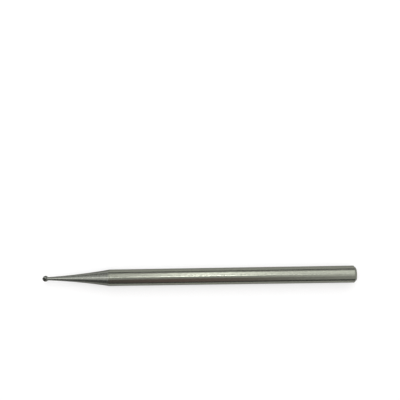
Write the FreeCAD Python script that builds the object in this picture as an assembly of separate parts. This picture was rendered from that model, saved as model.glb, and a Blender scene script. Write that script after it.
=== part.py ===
import FreeCAD, Part

import math
import os

# A ball bur for a straight handpiece, in millimetres. It is one piece of tool steel: a plain round
# shank, a waisted neck that tapers down to the head, and a small ball with helical flutes cut into it.
# The axis lies along X, with the ball at -X. The origin is on the axis at the shoulder, where the neck
# meets the shank's full diameter.

# Whole tool
overall_length = 44.5
shoulder_from_tip = 9.92
shank_diameter = 2.35

# Back end of the shank
chamfer_length = 0.3
chamfer_depth = 0.3
chamfer_rounding = 0.08

# Neck, hollowed by one wide arc from the ball to the shoulder
neck_diameter = 0.46
neck_arc_radius = 90.0
neck_fillet = 0.18

# Ball, with a blunt point in front that is tangent to it, and a taper ground behind its widest circle
ball_diameter = 0.84
nose_half_angle = 57.0
taper_half_angle = 36.0
taper_setback = 0.14

# Flutes, right-hand about the axis, with the cutting edges leading in a clockwise turn seen from the shank
flute_count = 6
flute_depth = 0.108
flute_root_rounding = 0.012
rake_angle = 8.0
back_angle = 78.0
helix_angle = 29.0
nose_land_radius = 0.1
top_flute_angle = 95.5

# The cutter runs this far past the steel at each end and above it
cutter_overrun = 0.025
cutter_sections = 15

ball_radius = ball_diameter / 2
neck_radius = neck_diameter / 2
shank_radius = shank_diameter / 2
tip_x = -shoulder_from_tip
end_face_x = tip_x + overall_length
nose_reach = ball_radius / math.sin(math.radians(nose_half_angle))
ball_x = tip_x + nose_reach
taper_start_radius = math.sqrt(ball_radius ** 2 - taper_setback ** 2)
taper_slope = math.tan(math.radians(taper_half_angle))


def at(x, radius):
    # a point of the turned outline, which lies in the XY plane
    return FreeCAD.Vector(x, radius, 0)


def toward(start, target, distance):
    # the point at a distance from start, on the line to target
    step = FreeCAD.Vector(target - start)
    return start + step.normalize() * distance


def arc(start, end, centre):
    # the shorter arc about a centre
    radius = (start - centre).Length
    middle = toward(centre, (start + end) * 0.5, radius)
    return Part.Arc(start, middle, end).toShape()


def line(start, end):
    return Part.LineSegment(start, end).toShape()


def taper_length_to(radius):
    # how far the taper runs along the axis before it is down to a radius
    return (taper_start_radius - radius) / taper_slope


def neck_arc_centre(start, end):
    # the hollow neck curves about a point far outside the tool
    chord = end - start
    middle = (start + end) * 0.5
    outward = FreeCAD.Vector(-chord.y, chord.x, 0).normalize()
    return middle + outward * math.sqrt(neck_arc_radius ** 2 - (chord.Length / 2) ** 2)


def fillet_centre(taper_start, hollow_centre):
    # the fillet touches the taper and the hollow neck, and lies outside both
    half_angle = math.radians(taper_half_angle)
    along = at(math.cos(half_angle), -math.sin(half_angle))
    outward = at(math.sin(half_angle), math.cos(half_angle))
    start = taper_start + outward * neck_fillet
    reach = neck_arc_radius - neck_fillet
    from_hollow = start - hollow_centre
    lead = from_hollow.dot(along)
    travel = math.sqrt(lead ** 2 + reach ** 2 - from_hollow.Length ** 2) - lead
    centre = start + along * travel
    return centre, centre - outward * neck_fillet


def head_and_neck_edges():
    # point, ball, taper, small fillet and hollow neck; only the ball and the taper meet at an edge
    ball_centre = at(ball_x, 0)
    half_angle = math.radians(nose_half_angle)
    nose_end = ball_centre + at(-ball_radius * math.sin(half_angle), ball_radius * math.cos(half_angle))
    taper_start = at(ball_x + taper_setback, taper_start_radius)
    neck_start = taper_start + at(taper_length_to(neck_radius), neck_radius - taper_start_radius)
    shoulder = at(0, shank_radius)
    hollow_centre = neck_arc_centre(neck_start, shoulder)
    centre, taper_end = fillet_centre(taper_start, hollow_centre)
    fillet_end = toward(hollow_centre, centre, neck_arc_radius)
    return [
        line(at(tip_x, 0), nose_end),
        arc(nose_end, taper_start, ball_centre),
        line(taper_start, taper_end),
        arc(taper_end, fillet_end, centre),
        arc(fillet_end, shoulder, hollow_centre),
    ]


def rounded_corner(before, corner, after, radius):
    # the two tangent points and the centre of an arc that takes off a corner
    turn = (before - corner).getAngle(after - corner)
    reach = radius / math.tan(turn / 2)
    start = toward(corner, before, reach)
    end = toward(corner, after, reach)
    centre = toward(corner, (start + end) * 0.5, radius / math.sin(turn / 2))
    return start, end, centre


def shank_edges():
    # straight side, chamfer with both of its corners rounded, and flat end face
    shoulder = at(0, shank_radius)
    side_end = at(end_face_x - chamfer_length, shank_radius)
    face_edge = at(end_face_x, shank_radius - chamfer_depth)
    face_centre = at(end_face_x, 0)
    first = rounded_corner(shoulder, side_end, face_edge, chamfer_rounding)
    second = rounded_corner(side_end, face_edge, face_centre, chamfer_rounding)
    return [
        line(shoulder, first[0]),
        arc(*first),
        line(first[1], second[0]),
        arc(*second),
        line(second[1], face_centre),
    ]


def turned_blank():
    # the bur before its flutes are cut
    outline = head_and_neck_edges() + shank_edges() + [line(at(end_face_x, 0), at(tip_x, 0))]
    face = Part.Face(Part.Wire(outline))
    return face.revolve(FreeCAD.Vector(0, 0, 0), FreeCAD.Vector(1, 0, 0), 360)


# The bottom of a flute, seen along its own turning section: level behind the ball's widest circle, where
# it leaves through the taper, and one arc in front of it, which leaves through the point.
root_radius_at_middle = ball_radius - flute_depth
runout_x = nose_land_radius / math.tan(math.radians(nose_half_angle)) - nose_reach
root_drop = root_radius_at_middle - nose_land_radius
root_arc_radius = (runout_x ** 2 + root_drop ** 2) / (2 * root_drop)
back_exit_x = taper_setback + taper_length_to(root_radius_at_middle)


def root_radius(x):
    # x is counted from the ball's centre
    if x > 0:
        return root_radius_at_middle
    return root_radius_at_middle - root_arc_radius + math.sqrt(root_arc_radius ** 2 - x ** 2)


def root_turn(x):
    # how far the flute has turned about the axis, in degrees, at a steady rate along its bottom
    travel = x if x > 0 else root_arc_radius * math.asin(x / root_arc_radius)
    return math.degrees(math.tan(math.radians(helix_angle)) * travel / ball_radius)


def steel_radius(x):
    # radius of the blank over its point, ball and taper
    if x < -ball_radius * math.sin(math.radians(nose_half_angle)):
        return (x + nose_reach) * math.tan(math.radians(nose_half_angle))
    if x > taper_setback:
        return taper_start_radius - (x - taper_setback) * taper_slope
    return math.sqrt(ball_radius ** 2 - x ** 2)


def cutter_section(x):
    # a leaning V with a rounded root: the steep side cuts a rake face, the other the back of a tooth
    def point(side, height):
        return FreeCAD.Vector(ball_x + x, root_radius(x) + height, side)

    height = max(steel_radius(x) - root_radius(x), 0) + cutter_overrun
    root = point(0, 0)
    rake_top = point(height * math.tan(math.radians(rake_angle)), height)
    back_top = point(-height * math.tan(math.radians(back_angle)), height)
    rake_foot, back_foot, centre = rounded_corner(rake_top, root, back_top, flute_root_rounding)
    section = Part.Wire([
        arc(back_foot, rake_foot, centre),
        line(rake_foot, rake_top),
        line(rake_top, back_top),
        line(back_top, back_foot),
    ])
    section.rotate(FreeCAD.Vector(0, 0, 0), FreeCAD.Vector(1, 0, 0), root_turn(x))
    return section


def flute_cutters():
    front = runout_x - cutter_overrun
    back = back_exit_x + cutter_overrun
    step = (back - front) / (cutter_sections - 1)
    sections = [cutter_section(front + step * i) for i in range(cutter_sections)]
    cutter = Part.makeLoft(sections, True, False)
    cutters = []
    for i in range(flute_count):
        turned = cutter.copy()
        angle = top_flute_angle + 360 * i / flute_count
        turned.rotate(FreeCAD.Vector(0, 0, 0), FreeCAD.Vector(1, 0, 0), angle)
        cutters.append(turned)
    return cutters


def ball_bur():
    return turned_blank().cut(flute_cutters())


os.makedirs("parts", exist_ok=True)
bur = ball_bur()
bur.Solids[0].exportStep("parts/ball_bur.step")
print("ball bur: %d solid, valid %s, %.3f mm3, %d faces"
      % (len(bur.Solids), bur.isValid(), bur.Volume, len(bur.Faces)))
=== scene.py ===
import math

import bpy
from mathutils import Matrix, Vector


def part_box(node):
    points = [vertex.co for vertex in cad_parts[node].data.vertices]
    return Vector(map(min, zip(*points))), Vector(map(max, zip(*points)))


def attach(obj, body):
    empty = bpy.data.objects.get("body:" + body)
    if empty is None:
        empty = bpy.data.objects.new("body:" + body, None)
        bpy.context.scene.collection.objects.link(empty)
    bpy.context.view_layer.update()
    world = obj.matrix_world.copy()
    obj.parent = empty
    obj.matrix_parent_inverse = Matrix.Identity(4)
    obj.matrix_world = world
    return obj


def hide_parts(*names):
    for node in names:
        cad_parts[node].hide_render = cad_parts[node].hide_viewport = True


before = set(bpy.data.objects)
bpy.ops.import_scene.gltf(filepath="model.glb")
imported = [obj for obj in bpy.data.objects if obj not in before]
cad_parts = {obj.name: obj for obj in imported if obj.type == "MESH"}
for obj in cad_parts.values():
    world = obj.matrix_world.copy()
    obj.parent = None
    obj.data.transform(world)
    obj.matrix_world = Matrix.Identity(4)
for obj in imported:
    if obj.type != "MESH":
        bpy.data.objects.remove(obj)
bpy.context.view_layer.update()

# Ball bur for a straight handpiece, lying on a pale table and seen from above.
# Metres and radians throughout; names in Mm and Deg are millimetres and degrees.

mm = 0.001
burLow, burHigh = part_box("ball_bur")


def hexColour(text):
    # sRGB hex to the linear numbers that shaders take
    parts = [int(text[i:i + 2], 16) / 255 for i in (1, 3, 5)]
    return [p / 12.92 if p <= 0.04045 else ((p + 0.055) / 1.055) ** 2.4 for p in parts] + [1.0]


def addNode(tree, kind, inputs=None, **settings):
    # adds one node; inputs maps a socket's name or number to a value or to the socket that feeds it
    node = tree.nodes.new(kind)
    for name, value in settings.items():
        setattr(node, name, value)
    for key, value in (inputs or {}).items():
        if isinstance(value, bpy.types.NodeSocket):
            tree.links.new(value, node.inputs[key])
        else:
            node.inputs[key].default_value = value
    return node


# The bur's body: one outline turned about X, with helical flutes sunk into its ball

bur = {
    "ballDiameterMm": 0.84,
    "noseHalfAngleDeg": 57.0,       # the blunt point ahead of the ball, tangent to it
    "neckDiameterMm": 0.46,
    "neckArcRadiusMm": 90.0,        # the neck is hollowed by one wide arc
    "neckFilletMm": 0.18,
    "taperHalfAngleDeg": 36.0,      # the ball's back is ground to a taper
    "taperSetbackMm": 0.14,         # and this starts so far behind the widest circle
    "chamferMm": 0.3,
    "chamferRoundingMm": 0.08,
    "fluteCount": 6,
    "fluteDepthMm": 0.108,
    "rakeAngleDeg": 8.0,            # steep side of a flute, leading the cut
    "backAngleDeg": 78.0,           # long gentle side
    "helixAngleDeg": 29.0,          # right-hand
    "noseLandRadiusMm": 0.1,        # flutes run out this far from the axis
    "topFluteAngleDeg": 95.5,       # one flute's bottom, from +Y towards +Z
    "fluteRootRoundingMm": 0.006,
    "leastBackDeg": 5.0,            # keeps mesh columns apart where there is no flute
    "leastRakeDeg": 1.0,
    "backColumns": 14,              # mesh columns along each side of a flute and each land
    "rakeColumns": 4,
    "landColumns": 10,
    "noseRows": 16,
    "ballRows": 90,
    "taperRows": 34,
    "filletRows": 12,
    "neckRows": 60,
    "shankRows": 24,
    "chamferRows": 6,
    "endRings": 5,
    "sharpEdgeDeg": 8.0,            # outer edges sharper than this look crisp
}

seamGap = 1e-8    # points nearer than this become one, which closes the seam and both poles
ballRadius = bur["ballDiameterMm"] * mm / 2
neckRadius = bur["neckDiameterMm"] * mm / 2
shankRadius = burHigh.y
noseHalf = math.radians(bur["noseHalfAngleDeg"])
noseReach = ballRadius / math.sin(noseHalf)
ballX = burLow.x + noseReach
taperHalf = math.radians(bur["taperHalfAngleDeg"])
taperSetback = bur["taperSetbackMm"] * mm
taperRadius = math.sqrt(ballRadius ** 2 - taperSetback ** 2)


def arcPoints(centre, start, end, rows):
    # points along the shorter arc from start to end, without the first
    first = math.atan2(start.y - centre.y, start.x - centre.x)
    turn = math.atan2(end.y - centre.y, end.x - centre.x) - first
    turn -= 2 * math.pi * round(turn / (2 * math.pi))
    radius = (start - centre).length
    angles = [first + turn * i / rows for i in range(1, rows + 1)]
    return [centre + Vector((math.cos(a), math.sin(a))) * radius for a in angles]


def linePoints(start, end, rows):
    return [start.lerp(end, i / rows) for i in range(1, rows + 1)]


def cornerArc(before, corner, after, radius, rows):
    # a rounded corner's first point and the points of its arc
    toBefore = (before - corner).normalized()
    toAfter = (after - corner).normalized()
    half = toBefore.angle(toAfter) / 2
    start = corner + toBefore * radius / math.tan(half)
    end = corner + toAfter * radius / math.tan(half)
    centre = corner + (toBefore + toAfter).normalized() * radius / math.sin(half)
    return [start] + arcPoints(centre, start, end, rows)


def neckAndFillet(taperStart, shoulder):
    # centres of the hollow neck and of the fillet between it and the taper, and where the taper ends
    wide = bur["neckArcRadiusMm"] * mm
    small = bur["neckFilletMm"] * mm
    along = Vector((math.cos(taperHalf), -math.sin(taperHalf)))
    outward = Vector((-along.y, along.x))
    neckStart = taperStart + along * (taperStart.y - neckRadius) / math.sin(taperHalf)
    chord = shoulder - neckStart
    aside = Vector((-chord.y, chord.x)).normalized()
    hollow = (neckStart + shoulder) / 2 + aside * math.sqrt(wide ** 2 - (chord.length / 2) ** 2)
    fromHollow = taperStart + outward * small - hollow
    lead = fromHollow.dot(along)
    travel = math.sqrt(lead ** 2 + (wide - small) ** 2 - fromHollow.length_squared) - lead
    fillet = hollow + fromHollow + along * travel
    return hollow, fillet, fillet - outward * small


def burOutline():
    # the turned outline from the point to the middle of the back face, as (x, radius)
    ball = Vector((ballX, 0))
    tip = Vector((burLow.x, 0))
    noseEnd = ball + Vector((-math.sin(noseHalf), math.cos(noseHalf))) * ballRadius
    taperStart = Vector((ballX + taperSetback, taperRadius))
    shoulder = Vector((0, shankRadius))
    hollow, fillet, taperEnd = neckAndFillet(taperStart, shoulder)
    filletEnd = hollow + (fillet - hollow).normalized() * (shoulder - hollow).length
    sideEnd = Vector((burHigh.x - bur["chamferMm"] * mm, shankRadius))
    faceEdge = Vector((burHigh.x, shankRadius - bur["chamferMm"] * mm))
    faceMiddle = Vector((burHigh.x, 0))
    rounding = bur["chamferRoundingMm"] * mm
    first = cornerArc(shoulder, sideEnd, faceEdge, rounding, bur["chamferRows"])
    second = cornerArc(sideEnd, faceEdge, faceMiddle, rounding, bur["chamferRows"])
    points = [tip] + linePoints(tip, noseEnd, bur["noseRows"])
    points += arcPoints(ball, noseEnd, taperStart, bur["ballRows"])
    points += linePoints(taperStart, taperEnd, bur["taperRows"])
    points += arcPoints(fillet, taperEnd, filletEnd, bur["filletRows"])
    points += arcPoints(hollow, filletEnd, shoulder, bur["neckRows"])
    points += linePoints(shoulder, first[0], bur["shankRows"]) + first[1:]
    points += linePoints(first[-1], second[0], 2) + second[1:]
    points += linePoints(second[-1], faceMiddle, bur["endRings"])
    return points


def outlineObject(points):
    mesh = bpy.data.meshes.new("burOutline")
    edges = [(i, i + 1) for i in range(len(points) - 1)]
    mesh.from_pydata([(p.x, p.y, 0) for p in points], edges, [])
    thing = bpy.data.objects.new("burOutline", mesh)
    bpy.context.scene.collection.objects.link(thing)
    return thing


def fluteSizes():
    # the bottom of a flute: level behind the widest circle, one arc ahead of it
    depth = bur["fluteDepthMm"] * mm
    nose = bur["noseLandRadiusMm"] * mm
    bottom = ballRadius - depth
    runoutX = nose / math.tan(noseHalf) - noseReach
    drop = bottom - nose
    return {
        "Ball Centre": ballX,
        "Bottom Radius": bottom,
        "Bottom Arc": (runoutX ** 2 + drop ** 2) / (2 * drop),
        "Front Run-out": runoutX,
        "Back Run-out": taperSetback + (taperRadius - bottom) / math.tan(taperHalf),
        "Rake Angle": math.radians(bur["rakeAngleDeg"]),
        "Back Angle": math.radians(bur["backAngleDeg"]),
        "Turn Rate": math.tan(math.radians(bur["helixAngleDeg"])) / ballRadius,
        "Top Flute Angle": math.radians(bur["topFluteAngleDeg"]),
        "Root Rounding": bur["fluteRootRoundingMm"] * mm,
        "Least Back": math.radians(bur["leastBackDeg"]),
        "Least Rake": math.radians(bur["leastRakeDeg"]),
        "Sharp Edge": math.radians(bur["sharpEdgeDeg"]),
    }


# Each row below makes one value of the node tree: its name, the operation, and the names or numbers that
# go in. Values with a capital are the tree's own inputs and fields, or come from its other nodes.

# Which ring and which column of the grid a point belongs to
gridRows = (
    ("fluteColumns", "ADD", "Back Columns", "Rake Columns"),
    ("toothColumns", "ADD", "fluteColumns", "Land Columns"),
    ("columns", "MULTIPLY", "toothColumns", "Flute Count"),
    ("across", "ADD", "columns", 1.0),
    ("indexMiddle", "ADD", "Index", 0.5),
    ("ringShare", "DIVIDE", "indexMiddle", "across"),
    ("ring", "FLOOR", "ringShare"),
    ("pointsBefore", "MULTIPLY", "ring", "across"),
    ("column", "SUBTRACT", "Index", "pointsBefore"),
)

# The flute's bottom at this ring, as a share of the steel's radius
bottomRows = (
    ("fromBall", "SUBTRACT", "Ring X", "Ball Centre"),
    ("ahead", "MINIMUM", "fromBall", 0.0),
    ("aheadSquare", "MULTIPLY", "ahead", "ahead"),
    ("arcSquare", "MULTIPLY", "Bottom Arc", "Bottom Arc"),
    ("heightSquare", "SUBTRACT", "arcSquare", "aheadSquare"),
    ("arcHeight", "SQRT", "heightSquare"),
    ("arcCentre", "SUBTRACT", "Bottom Radius", "Bottom Arc"),
    ("wantedBottom", "ADD", "arcCentre", "arcHeight"),
    ("steel", "MAXIMUM", "Ring Radius", 1e-9),
    ("wantedShare", "DIVIDE", "wantedBottom", "steel"),
    ("cappedShare", "MINIMUM", "wantedShare", 1.0),
    ("behindFront", "GREATER_THAN", "fromBall", "Front Run-out"),
    ("aheadOfBack", "LESS_THAN", "fromBall", "Back Run-out"),
    ("fluted", "MULTIPLY", "behindFront", "aheadOfBack"),
    ("plain", "SUBTRACT", 1.0, "fluted"),
    ("share", "MAXIMUM", "cappedShare", "plain"),
    ("bottom", "MULTIPLY", "share", "Ring Radius"),
)

# The helix turns at a steady rate along the flute's bottom
helixRows = (
    ("afterFront", "MAXIMUM", "fromBall", "Front Run-out"),
    ("along", "MINIMUM", "afterFront", "Back Run-out"),
    ("alongAhead", "MINIMUM", "along", 0.0),
    ("alongBehind", "MAXIMUM", "along", 0.0),
    ("arcSine", "DIVIDE", "alongAhead", "Bottom Arc"),
    ("arcTurn", "ARCSINE", "arcSine"),
    ("travel", "MULTIPLY_ADD", "arcTurn", "Bottom Arc", "alongBehind"),
    ("turn", "MULTIPLY_ADD", "travel", "Turn Rate", "Top Flute Angle"),
)

# How far round each side of the flute reaches before it meets the ball, and what is left for the land
reachRows = (
    ("backSine", "SINE", "Back Angle"),
    ("rakeSine", "SINE", "Rake Angle"),
    ("backTopSine", "MULTIPLY", "share", "backSine"),
    ("rakeTopSine", "MULTIPLY", "share", "rakeSine"),
    ("backTop", "ARCSINE", "backTopSine"),
    ("rakeTop", "ARCSINE", "rakeTopSine"),
    ("backSpan", "SUBTRACT", "Back Angle", "backTop"),
    ("rakeSpan", "SUBTRACT", "Rake Angle", "rakeTop"),
    ("backReach", "MAXIMUM", "backSpan", "Least Back"),
    ("rakeReach", "MAXIMUM", "rakeSpan", "Least Rake"),
    ("fluteReach", "ADD", "backReach", "rakeReach"),
    ("pitch", "DIVIDE", 2 * math.pi, "Flute Count"),
    ("landReach", "SUBTRACT", "pitch", "fluteReach"),
)

# Columns bunch up so that some lie exactly on each cutting edge and heel
columnRows = (
    ("columnMiddle", "ADD", "column", 0.5),
    ("toothShare", "DIVIDE", "columnMiddle", "toothColumns"),
    ("tooth", "FLOOR", "toothShare"),
    ("columnsBefore", "MULTIPLY", "tooth", "toothColumns"),
    ("step", "SUBTRACT", "column", "columnsBefore"),
    ("backStep", "MINIMUM", "step", "Back Columns"),
    ("backShare", "DIVIDE", "backStep", "Back Columns"),
    ("backPart", "SUBTRACT", "backShare", 1.0),
    ("pastRoot", "SUBTRACT", "step", "Back Columns"),
    ("rakeShare", "DIVIDE", "pastRoot", "Rake Columns"),
    ("rakeNotLess", "MAXIMUM", "rakeShare", 0.0),
    ("rakePart", "MINIMUM", "rakeNotLess", 1.0),
    ("pastFlute", "SUBTRACT", "step", "fluteColumns"),
    ("landShare", "DIVIDE", "pastFlute", "Land Columns"),
    ("landPart", "MAXIMUM", "landShare", 0.0),
    ("backAround", "MULTIPLY", "backPart", "backReach"),
    ("fluteAround", "MULTIPLY_ADD", "rakePart", "rakeReach", "backAround"),
    ("around", "MULTIPLY_ADD", "landPart", "landReach", "fluteAround"),
    ("toothTurn", "MULTIPLY_ADD", "tooth", "pitch", "turn"),
    ("angle", "ADD", "toothTurn", "around"),
)

# Straight flute sides in each ring's plane, rounded where they meet; the lands keep the steel's radius
sideRows = (
    ("backHeight", "MULTIPLY", "bottom", "backSine"),
    ("backLean", "ADD", "Back Angle", "around"),
    ("backLeanSine", "SINE", "backLean"),
    ("backSide", "DIVIDE", "backHeight", "backLeanSine"),
    ("rakeHeight", "MULTIPLY", "bottom", "rakeSine"),
    ("rakeLean", "SUBTRACT", "Rake Angle", "around"),
    ("rakeLeanSine", "SINE", "rakeLean"),
    ("rakeLeanSafe", "MAXIMUM", "rakeLeanSine", 1e-3),
    ("rakeSide", "DIVIDE", "rakeHeight", "rakeLeanSafe"),
    ("floor", "SMOOTH_MAX", "backSide", "rakeSide", "Root Rounding"),
    ("cut", "MINIMUM", "floor", "Ring Radius"),
    ("landFrom", "ADD", "fluteColumns", 0.5),
    ("onLand", "GREATER_THAN", "step", "landFrom"),
    ("landRadius", "MULTIPLY", "onLand", "Ring Radius"),
    ("radius", "MAXIMUM", "cut", "landRadius"),
    ("cosine", "COSINE", "angle"),
    ("sine", "SINE", "angle"),
    ("y", "MULTIPLY", "radius", "cosine"),
    ("z", "MULTIPLY", "radius", "sine"),
)

# Crisp cutting edges, heels and shoulder; one finish ahead of the shoulder and one behind it
finishRows = (
    ("crisp", "GREATER_THAN", "Edge Angle", "Sharp Edge"),
    ("isHead", "LESS_THAN", "Face X", 0.0),
)


def turnedAndFlutedTree(floats, counts, materials):
    # turns the outline into rings, one per outline point, and presses the flutes into the ball's rings
    tree = bpy.data.node_groups.new("turnedAndFluted", "GeometryNodeTree")
    panel = tree.interface
    panel.new_socket(name="Outline", in_out="INPUT", socket_type="NodeSocketGeometry")
    panel.new_socket(name="Bur", in_out="OUTPUT", socket_type="NodeSocketGeometry")
    sockets = {"NodeSocketFloat": floats, "NodeSocketInt": counts, "NodeSocketMaterial": materials}
    for kind, names in sockets.items():
        for name in names:
            panel.new_socket(name=name, in_out="INPUT", socket_type=kind)
    value = {socket.name: socket for socket in addNode(tree, "NodeGroupInput").outputs}
    place = addNode(tree, "GeometryNodeInputPosition").outputs[0]
    value["Face X"] = addNode(tree, "ShaderNodeSeparateXYZ", {0: place}).outputs[0]
    value["Edge Angle"] = addNode(tree, "GeometryNodeInputMeshEdgeAngle").outputs["Signed Angle"]
    value["Index"] = addNode(tree, "GeometryNodeInputIndex").outputs[0]
    for name, operation, *inputs in gridRows:
        sources = {i: value.get(source, source) for i, source in enumerate(inputs)}
        value[name] = addNode(tree, "ShaderNodeMath", sources, operation=operation).outputs[0]

    # the outline's point for each ring
    sample = addNode(tree, "GeometryNodeSampleIndex",
                     {"Geometry": value["Outline"], "Value": place, "Index": value["ring"]},
                     data_type="FLOAT_VECTOR", domain="POINT")
    ringPoint = addNode(tree, "ShaderNodeSeparateXYZ", {0: sample.outputs[0]}).outputs
    value["Ring X"], value["Ring Radius"] = ringPoint[0], ringPoint[1]
    for name, operation, *inputs in bottomRows + helixRows + reachRows + columnRows + sideRows + finishRows:
        sources = {i: value.get(source, source) for i, source in enumerate(inputs)}
        value[name] = addNode(tree, "ShaderNodeMath", sources, operation=operation).outputs[0]

    rings = addNode(tree, "GeometryNodeAttributeDomainSize", {0: value["Outline"]}).outputs["Point Count"]
    grid = addNode(tree, "GeometryNodeMeshGrid", {"Vertices X": rings, "Vertices Y": value["across"]})
    spot = addNode(tree, "ShaderNodeCombineXYZ",
                   {0: value["Ring X"], 1: value["y"], 2: value["z"]}).outputs[0]
    shape = addNode(tree, "GeometryNodeSetPosition",
                    {0: grid.outputs["Mesh"], "Position": spot}).outputs[0]
    shape = addNode(tree, "GeometryNodeMergeByDistance",
                    {0: shape, "Distance": seamGap}).outputs[0]
    shape = addNode(tree, "GeometryNodeFlipFaces", {0: shape}).outputs[0]    # the turned grid faces inwards
    shape = addNode(tree, "GeometryNodeSetShadeSmooth",
                    {0: shape, "Shade Smooth": True}, domain="FACE").outputs[0]
    shape = addNode(tree, "GeometryNodeSetShadeSmooth",
                    {0: shape, "Selection": value["crisp"], "Shade Smooth": False},
                    domain="EDGE").outputs[0]
    shape = addNode(tree, "GeometryNodeRealizeInstances", {0: shape}).outputs[0]
    for name, where in (("Shank Finish", True), ("Head Finish", value["isHead"])):
        shape = addNode(tree, "GeometryNodeSetMaterial",
                        {0: shape, "Selection": where, "Material": value[name]}).outputs[0]
    addNode(tree, "NodeGroupOutput", {0: shape})
    return tree


def makeBur(finishes):
    thing = outlineObject(burOutline())
    floats = fluteSizes()
    counts = {
        "Flute Count": bur["fluteCount"],
        "Back Columns": bur["backColumns"],
        "Rake Columns": bur["rakeColumns"],
        "Land Columns": bur["landColumns"],
    }
    tree = turnedAndFlutedTree(floats, counts, finishes)
    modifier = thing.modifiers.new("turnedAndFluted", "NODES")
    modifier.node_group = tree
    sockets = {s.name: s.identifier for s in tree.interface.items_tree if s.in_out == "INPUT"}
    for name, value in {**floats, **counts, **finishes}.items():
        modifier[sockets[name]] = value
    graph = bpy.context.evaluated_depsgraph_get()
    solid = bpy.data.meshes.new_from_object(thing.evaluated_get(graph))
    solid.name = "fluted_bur"
    solid.materials.pop(index=0)    # the empty slot that the grid starts with
    bpy.data.objects.remove(thing)
    piece = bpy.data.objects.new("fluted_bur", solid)
    bpy.context.scene.collection.objects.link(piece)
    print("bur:", len(solid.vertices), "vertices,", len(solid.polygons), "faces")
    return piece


# Finishes, all of the same hardened tool steel

quarterTurn = 0.25
noiseLow, noiseHigh = 0.3, 0.7    # a noise pattern seldom leaves this range


def newMaterial(name):
    material = bpy.data.materials.new(name)
    material.use_nodes = True
    material.node_tree.nodes.clear()
    return material, material.node_tree


def objectCoordinates(tree, perMm):
    # Object coordinates in grains, so that each axis has its own grain size
    coordinates = addNode(tree, "ShaderNodeTexCoord").outputs["Object"]
    scale = [p / mm for p in perMm]
    return addNode(tree, "ShaderNodeMapping", {"Vector": coordinates, "Scale": scale}).outputs[0]


def finishSteel(tree, finish, colour, roughness, relief):
    # the marks of grinding run round the axis, so they stretch every reflection along the bur
    bump = addNode(tree, "ShaderNodeBump", {
        "Height": relief, "Distance": finish["reliefMm"] * mm, "Strength": 1.0}).outputs[0]
    tangent = addNode(tree, "ShaderNodeTangent", direction_type="RADIAL", axis="X").outputs[0]
    shader = addNode(tree, "ShaderNodeBsdfPrincipled", {
        "Base Color": colour, "Metallic": 1.0, "Roughness": roughness, "Normal": bump,
        "Anisotropic": finish["anisotropy"], "Anisotropic Rotation": quarterTurn, "Tangent": tangent,
        "Specular Tint": hexColour(finish["edgeTint"])})
    addNode(tree, "ShaderNodeOutputMaterial", {0: shader.outputs[0]})


shankFinish = {
    "steel": "#8e9085",
    "dullSteel": "#6e7067",
    "roughness": 0.22,
    "roughnessSpread": 0.05,
    "ringPitchMm": 0.16,       # real grinding rings are too fine to show, so these are coarser
    "ringsVaryPerMm": 0.15,    # how soon a ring changes on its way round
    "streakWidthMm": 0.12,
    "streakLengthMm": 0.45,
    "reliefMm": 0.0012,
    "anisotropy": 0.6,
    "edgeTint": "#b8b8b8",     # dulls the glancing reflections, as a thin film of oil and oxide does
}


def groundShankSteel():
    # Centreless-ground tool steel: fine rings round the shank stretch each highlight along it,
    # and faint lengthwise streaks of wear break the highlight up.
    finish = shankFinish
    material, tree = newMaterial("centreless_ground_tool_steel")
    vary = finish["ringsVaryPerMm"]
    rings = addNode(tree, "ShaderNodeTexNoise", {
        "Vector": objectCoordinates(tree, (1 / finish["ringPitchMm"], vary, vary)),
        "Scale": 1.0, "Detail": 4.0, "Roughness": 0.6}).outputs[0]
    across = 1 / finish["streakWidthMm"]
    streaks = addNode(tree, "ShaderNodeTexNoise", {
        "Vector": objectCoordinates(tree, (1 / finish["streakLengthMm"], across, across)),
        "Scale": 1.0, "Detail": 6.0, "Roughness": 0.7}).outputs[0]
    colour = addNode(tree, "ShaderNodeMix", {
        0: streaks, 6: hexColour(finish["steel"]), 7: hexColour(finish["dullSteel"])},
        data_type="RGBA").outputs[2]
    middle, spread = finish["roughness"], finish["roughnessSpread"]
    roughness = addNode(tree, "ShaderNodeMapRange", {
        0: streaks, 1: noiseLow, 2: noiseHigh, 3: middle - spread, 4: middle + spread}).outputs[0]
    finishSteel(tree, finish, colour, roughness, rings)
    return material


headFinish = {
    "steel": "#9c9e96",
    "dullSteel": "#5c5e58",
    "paintedFluteShade": "#31312c",   # painted shade: the flutes are painted darker towards their bottoms, the rest is ground
    "roughness": 0.26,
    "roughnessSpread": 0.05,
    "fluteRoughness": 0.5,
    "shadeDepthMm": 0.07,       # the painted shade is at its darkest this far under the ball's surface
    "shadeStart": 0.2,          # and begins at this share of that depth
    "grainMm": 0.07,           # the real grain is finer and would show as even grey
    "ringPitchMm": 0.12,
    "ringsVaryPerMm": 0.4,
    "reliefMm": 0.001,
    "anisotropy": 0.3,
    "edgeTint": "#6a6a6a",
}


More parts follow.
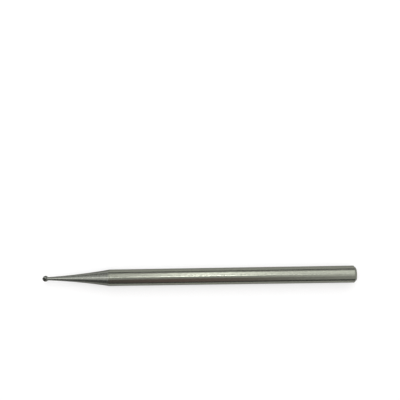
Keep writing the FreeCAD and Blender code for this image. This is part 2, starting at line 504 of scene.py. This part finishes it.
def satinHeadSteel():
    # Profile-ground tool steel: a coarser wheel leaves the neck and the ball a satin grey with soft, wide
    # highlights and a fine grain; painted shade, darker with depth, makes the dull flutes set the teeth off.
    finish = headFinish
    material, tree = newMaterial("profile_ground_tool_steel")
    grain = addNode(tree, "ShaderNodeTexNoise", {
        "Vector": objectCoordinates(tree, (1 / finish["grainMm"],) * 3),
        "Scale": 1.0, "Detail": 5.0, "Roughness": 0.7}).outputs[0]
    vary = finish["ringsVaryPerMm"]
    rings = addNode(tree, "ShaderNodeTexNoise", {
        "Vector": objectCoordinates(tree, (1 / finish["ringPitchMm"], vary, vary)),
        "Scale": 1.0, "Detail": 3.0, "Roughness": 0.6}).outputs[0]

    # painted shade in the flutes: 0 at the bottom of a flute, where it is darkest, 1 near the ball's surface
    # and beyond
    place = addNode(tree, "ShaderNodeTexCoord").outputs["Object"]
    fromBall = addNode(tree, "ShaderNodeVectorMath",
                       {0: place, 1: (ballX, 0, 0)}, operation="DISTANCE").outputs["Value"]
    shadeDepth = finish["shadeDepthMm"] * mm
    outsideFluteShade = addNode(tree, "ShaderNodeMapRange", {
        0: fromBall, 1: ballRadius - shadeDepth, 2: ballRadius - finish["shadeStart"] * shadeDepth,
        3: 0.0, 4: 1.0}).outputs[0]

    ground = addNode(tree, "ShaderNodeMix", {
        0: grain, 6: hexColour(finish["steel"]), 7: hexColour(finish["dullSteel"])},
        data_type="RGBA").outputs[2]
    # painted shade: the flute colour takes over towards the bottom of each flute
    colour = addNode(tree, "ShaderNodeMix", {
        0: outsideFluteShade, 6: hexColour(finish["paintedFluteShade"]), 7: ground}, data_type="RGBA").outputs[2]
    middle, spread = finish["roughness"], finish["roughnessSpread"]
    satin = addNode(tree, "ShaderNodeMapRange", {
        0: grain, 1: noiseLow, 2: noiseHigh, 3: middle - spread, 4: middle + spread}).outputs[0]
    roughness = addNode(tree, "ShaderNodeMapRange", {
        0: outsideFluteShade, 1: 0.0, 2: 1.0, 3: finish["fluteRoughness"], 4: satin}).outputs[0]
    both = addNode(tree, "ShaderNodeMath", {0: grain, 1: rings}, operation="ADD").outputs[0]
    finishSteel(tree, finish, colour, roughness, both)
    return material


# Table, light and camera

table = {
    "halfWidth": 1.5,
    "paper": "#b9b9b9",
    "glow": 0.53,    # plain light for the camera and for reflections, which makes the paper white
}


def makeTable():
    # matt white paper; the camera, mirrors and glass all see it as white, and it keeps the bur's soft shadow
    half = table["halfWidth"]
    mesh = bpy.data.meshes.new("paper_table")
    corners = [(x * half, y * half, burLow.z) for x, y in ((-1, -1), (1, -1), (1, 1), (-1, 1))]
    mesh.from_pydata(corners, [], [(0, 1, 2, 3)])
    thing = bpy.data.objects.new("paper_table", mesh)
    bpy.context.scene.collection.objects.link(thing)
    material, tree = newMaterial("matt_white_paper")
    rays = addNode(tree, "ShaderNodeLightPath").outputs
    seen = rays["Is Camera Ray"]
    for ray in ("Is Glossy Ray", "Is Transmission Ray"):
        seen = addNode(tree, "ShaderNodeMath", {0: seen, 1: rays[ray]}, operation="MAXIMUM").outputs[0]
    glow = addNode(tree, "ShaderNodeMath", {0: seen, 1: table["glow"]}, operation="MULTIPLY")
    paper = addNode(tree, "ShaderNodeBsdfDiffuse", {"Color": hexColour(table["paper"])})
    white = addNode(tree, "ShaderNodeEmission", {"Color": (1, 1, 1, 1), "Strength": glow.outputs[0]})
    shader = addNode(tree, "ShaderNodeAddShader", {0: paper.outputs[0], 1: white.outputs[0]})
    addNode(tree, "ShaderNodeOutputMaterial", {0: shader.outputs[0]})
    mesh.materials.append(material)


# Each lamp hangs over the bur's middle in the direction given: aside is from straight up towards +Y,
# along is from straight up towards +X. Wide and long are the angles that it fills, seen from the bur.
# They are white where no colour is given.
lampDistance = 0.6
lamps = {
    "keyStrip": {"aside": 14, "along": -4, "wide": 8, "long": 9, "radiance": 11.8},
    "sideStrip": {"aside": 40, "along": -4, "wide": 34, "long": 9, "radiance": 3.9},
    "topFill": {"aside": 2, "along": -3, "wide": 40, "long": 80, "radiance": 0.46},
    "sideFill": {"aside": 52, "along": 3, "wide": 52, "long": 68, "radiance": 0.56},
    "endFillLow": {"aside": -30, "along": 24, "wide": 66, "long": 30, "radiance": 0.58},
    "endFillHigh": {"aside": 32, "along": 24, "wide": 50, "long": 30, "radiance": 1.1},
    "neckFillLow": {"aside": -16, "along": -30, "wide": 22, "long": 18, "radiance": 0.62},
    "neckKey": {"aside": 12, "along": -30, "wide": 16, "long": 18, "radiance": 1.9},
    "neckFillHigh": {"aside": 34, "along": -30, "wide": 26, "long": 18, "radiance": 0.6},
    "warmFill": {"aside": -42, "along": -7, "wide": 54, "long": 14, "radiance": 0.17, "colour": "#ffa89d"},
    "endRim": {"aside": 0, "along": 66, "wide": 50, "long": 30, "radiance": 0.6},
}
room = {
    "colour": "#ffffff",
    "sideStrength": 0.17,       # dim to both sides of the bur and paler at its two ends
    "endStrength": 0.55,
    "endFade": (0.75, 0.95),    # cosines to the bur's line, where the paler end begins and where it is full
}


def makeLamps():
    middle = Vector(((burLow.x + burHigh.x) / 2, 0, 0))
    for name, lamp in lamps.items():
        aside, along = math.radians(lamp["aside"]), math.radians(lamp["along"])
        toward = Vector((math.tan(along), math.tan(aside), 1)).normalized()
        light = bpy.data.lights.new(name, "AREA")
        light.shape = "RECTANGLE"
        light.size = 2 * lampDistance * math.tan(math.radians(lamp["long"] / 2))
        light.size_y = 2 * lampDistance * math.tan(math.radians(lamp["wide"] / 2))
        light.energy = lamp["radiance"] * 4 * light.size * light.size_y
        light.color = hexColour(lamp.get("colour", "#ffffff"))[:3]
        thing = bpy.data.objects.new(name, light)
        bpy.context.scene.collection.objects.link(thing)
        xAxis = Vector((1, 0, 0)) - toward * toward.x
        xAxis.normalize()
        turn = Matrix((xAxis, toward.cross(xAxis), toward)).transposed()
        thing.matrix_world = Matrix.Translation(middle + toward * lampDistance) @ turn.to_4x4()
    world = bpy.data.worlds.new("room")
    world.use_nodes = True
    world.node_tree.nodes.clear()
    tree = world.node_tree
    toward = addNode(tree, "ShaderNodeTexCoord").outputs["Generated"]
    alongBur = addNode(tree, "ShaderNodeSeparateXYZ", {0: toward}).outputs[0]
    toEnd = addNode(tree, "ShaderNodeMath", {0: alongBur}, operation="ABSOLUTE").outputs[0]
    begin, full = room["endFade"]
    strength = addNode(tree, "ShaderNodeMapRange", {
        0: toEnd, 1: begin, 2: full, 3: room["sideStrength"], 4: room["endStrength"]},
        interpolation_type="SMOOTHSTEP").outputs[0]
    glow = addNode(tree, "ShaderNodeBackground", {
        "Color": hexColour(room["colour"]), "Strength": strength})
    addNode(tree, "ShaderNodeOutputWorld", {0: glow.outputs[0]})
    bpy.context.scene.world = world


# The photo's frame is 400 pixels square. The camera looks almost straight down and leans towards the
# shank's end, so that this end is a little nearer. Its aim is the picture's place of the bur's middle.
view = {
    "pictureSize": 400,
    "aimPixel": (195.81, 276.45),
    "focalPixels": 537.0,
    "distance": 0.076,
    "leanDeg": 4.0,
    "rollDeg": -1.446,
}
sensorWidth = 36.0


def makeCamera():
    lean, roll = math.radians(view["leanDeg"]), math.radians(view["rollDeg"])
    back = Vector((math.sin(lean), 0, math.cos(lean)))
    level = Vector((math.cos(lean), 0, -math.sin(lean)))
    across = level * math.cos(roll) + Vector((0, math.sin(roll), 0))
    up = back.cross(across)
    half = view["pictureSize"] / 2
    offX = (view["aimPixel"][0] - half) / view["focalPixels"]
    offY = (half - view["aimPixel"][1]) / view["focalPixels"]
    ray = across * offX + up * offY - back
    middle = Vector(((burLow.x + burHigh.x) / 2, 0, 0))
    camera = bpy.data.cameras.new("camera")
    camera.sensor_width = sensorWidth
    camera.lens = view["focalPixels"] / view["pictureSize"] * sensorWidth
    camera.clip_start = 0.001
    thing = bpy.data.objects.new("camera", camera)
    turn = Matrix((across, up, back)).transposed()
    thing.matrix_world = Matrix.Translation(middle - ray * view["distance"]) @ turn.to_4x4()
    bpy.context.scene.collection.objects.link(thing)
    bpy.context.scene.camera = thing


print("making the finishes")
finishes = {
    "Shank Finish": groundShankSteel(),
    "Head Finish": satinHeadSteel(),
}

print("making the bur")
burPiece = makeBur(finishes)
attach(burPiece, "root")
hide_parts("ball_bur")

print("making the table, lamps and camera")
makeTable()
makeLamps()
makeCamera()
bpy.context.scene.view_settings.view_transform = "Standard"
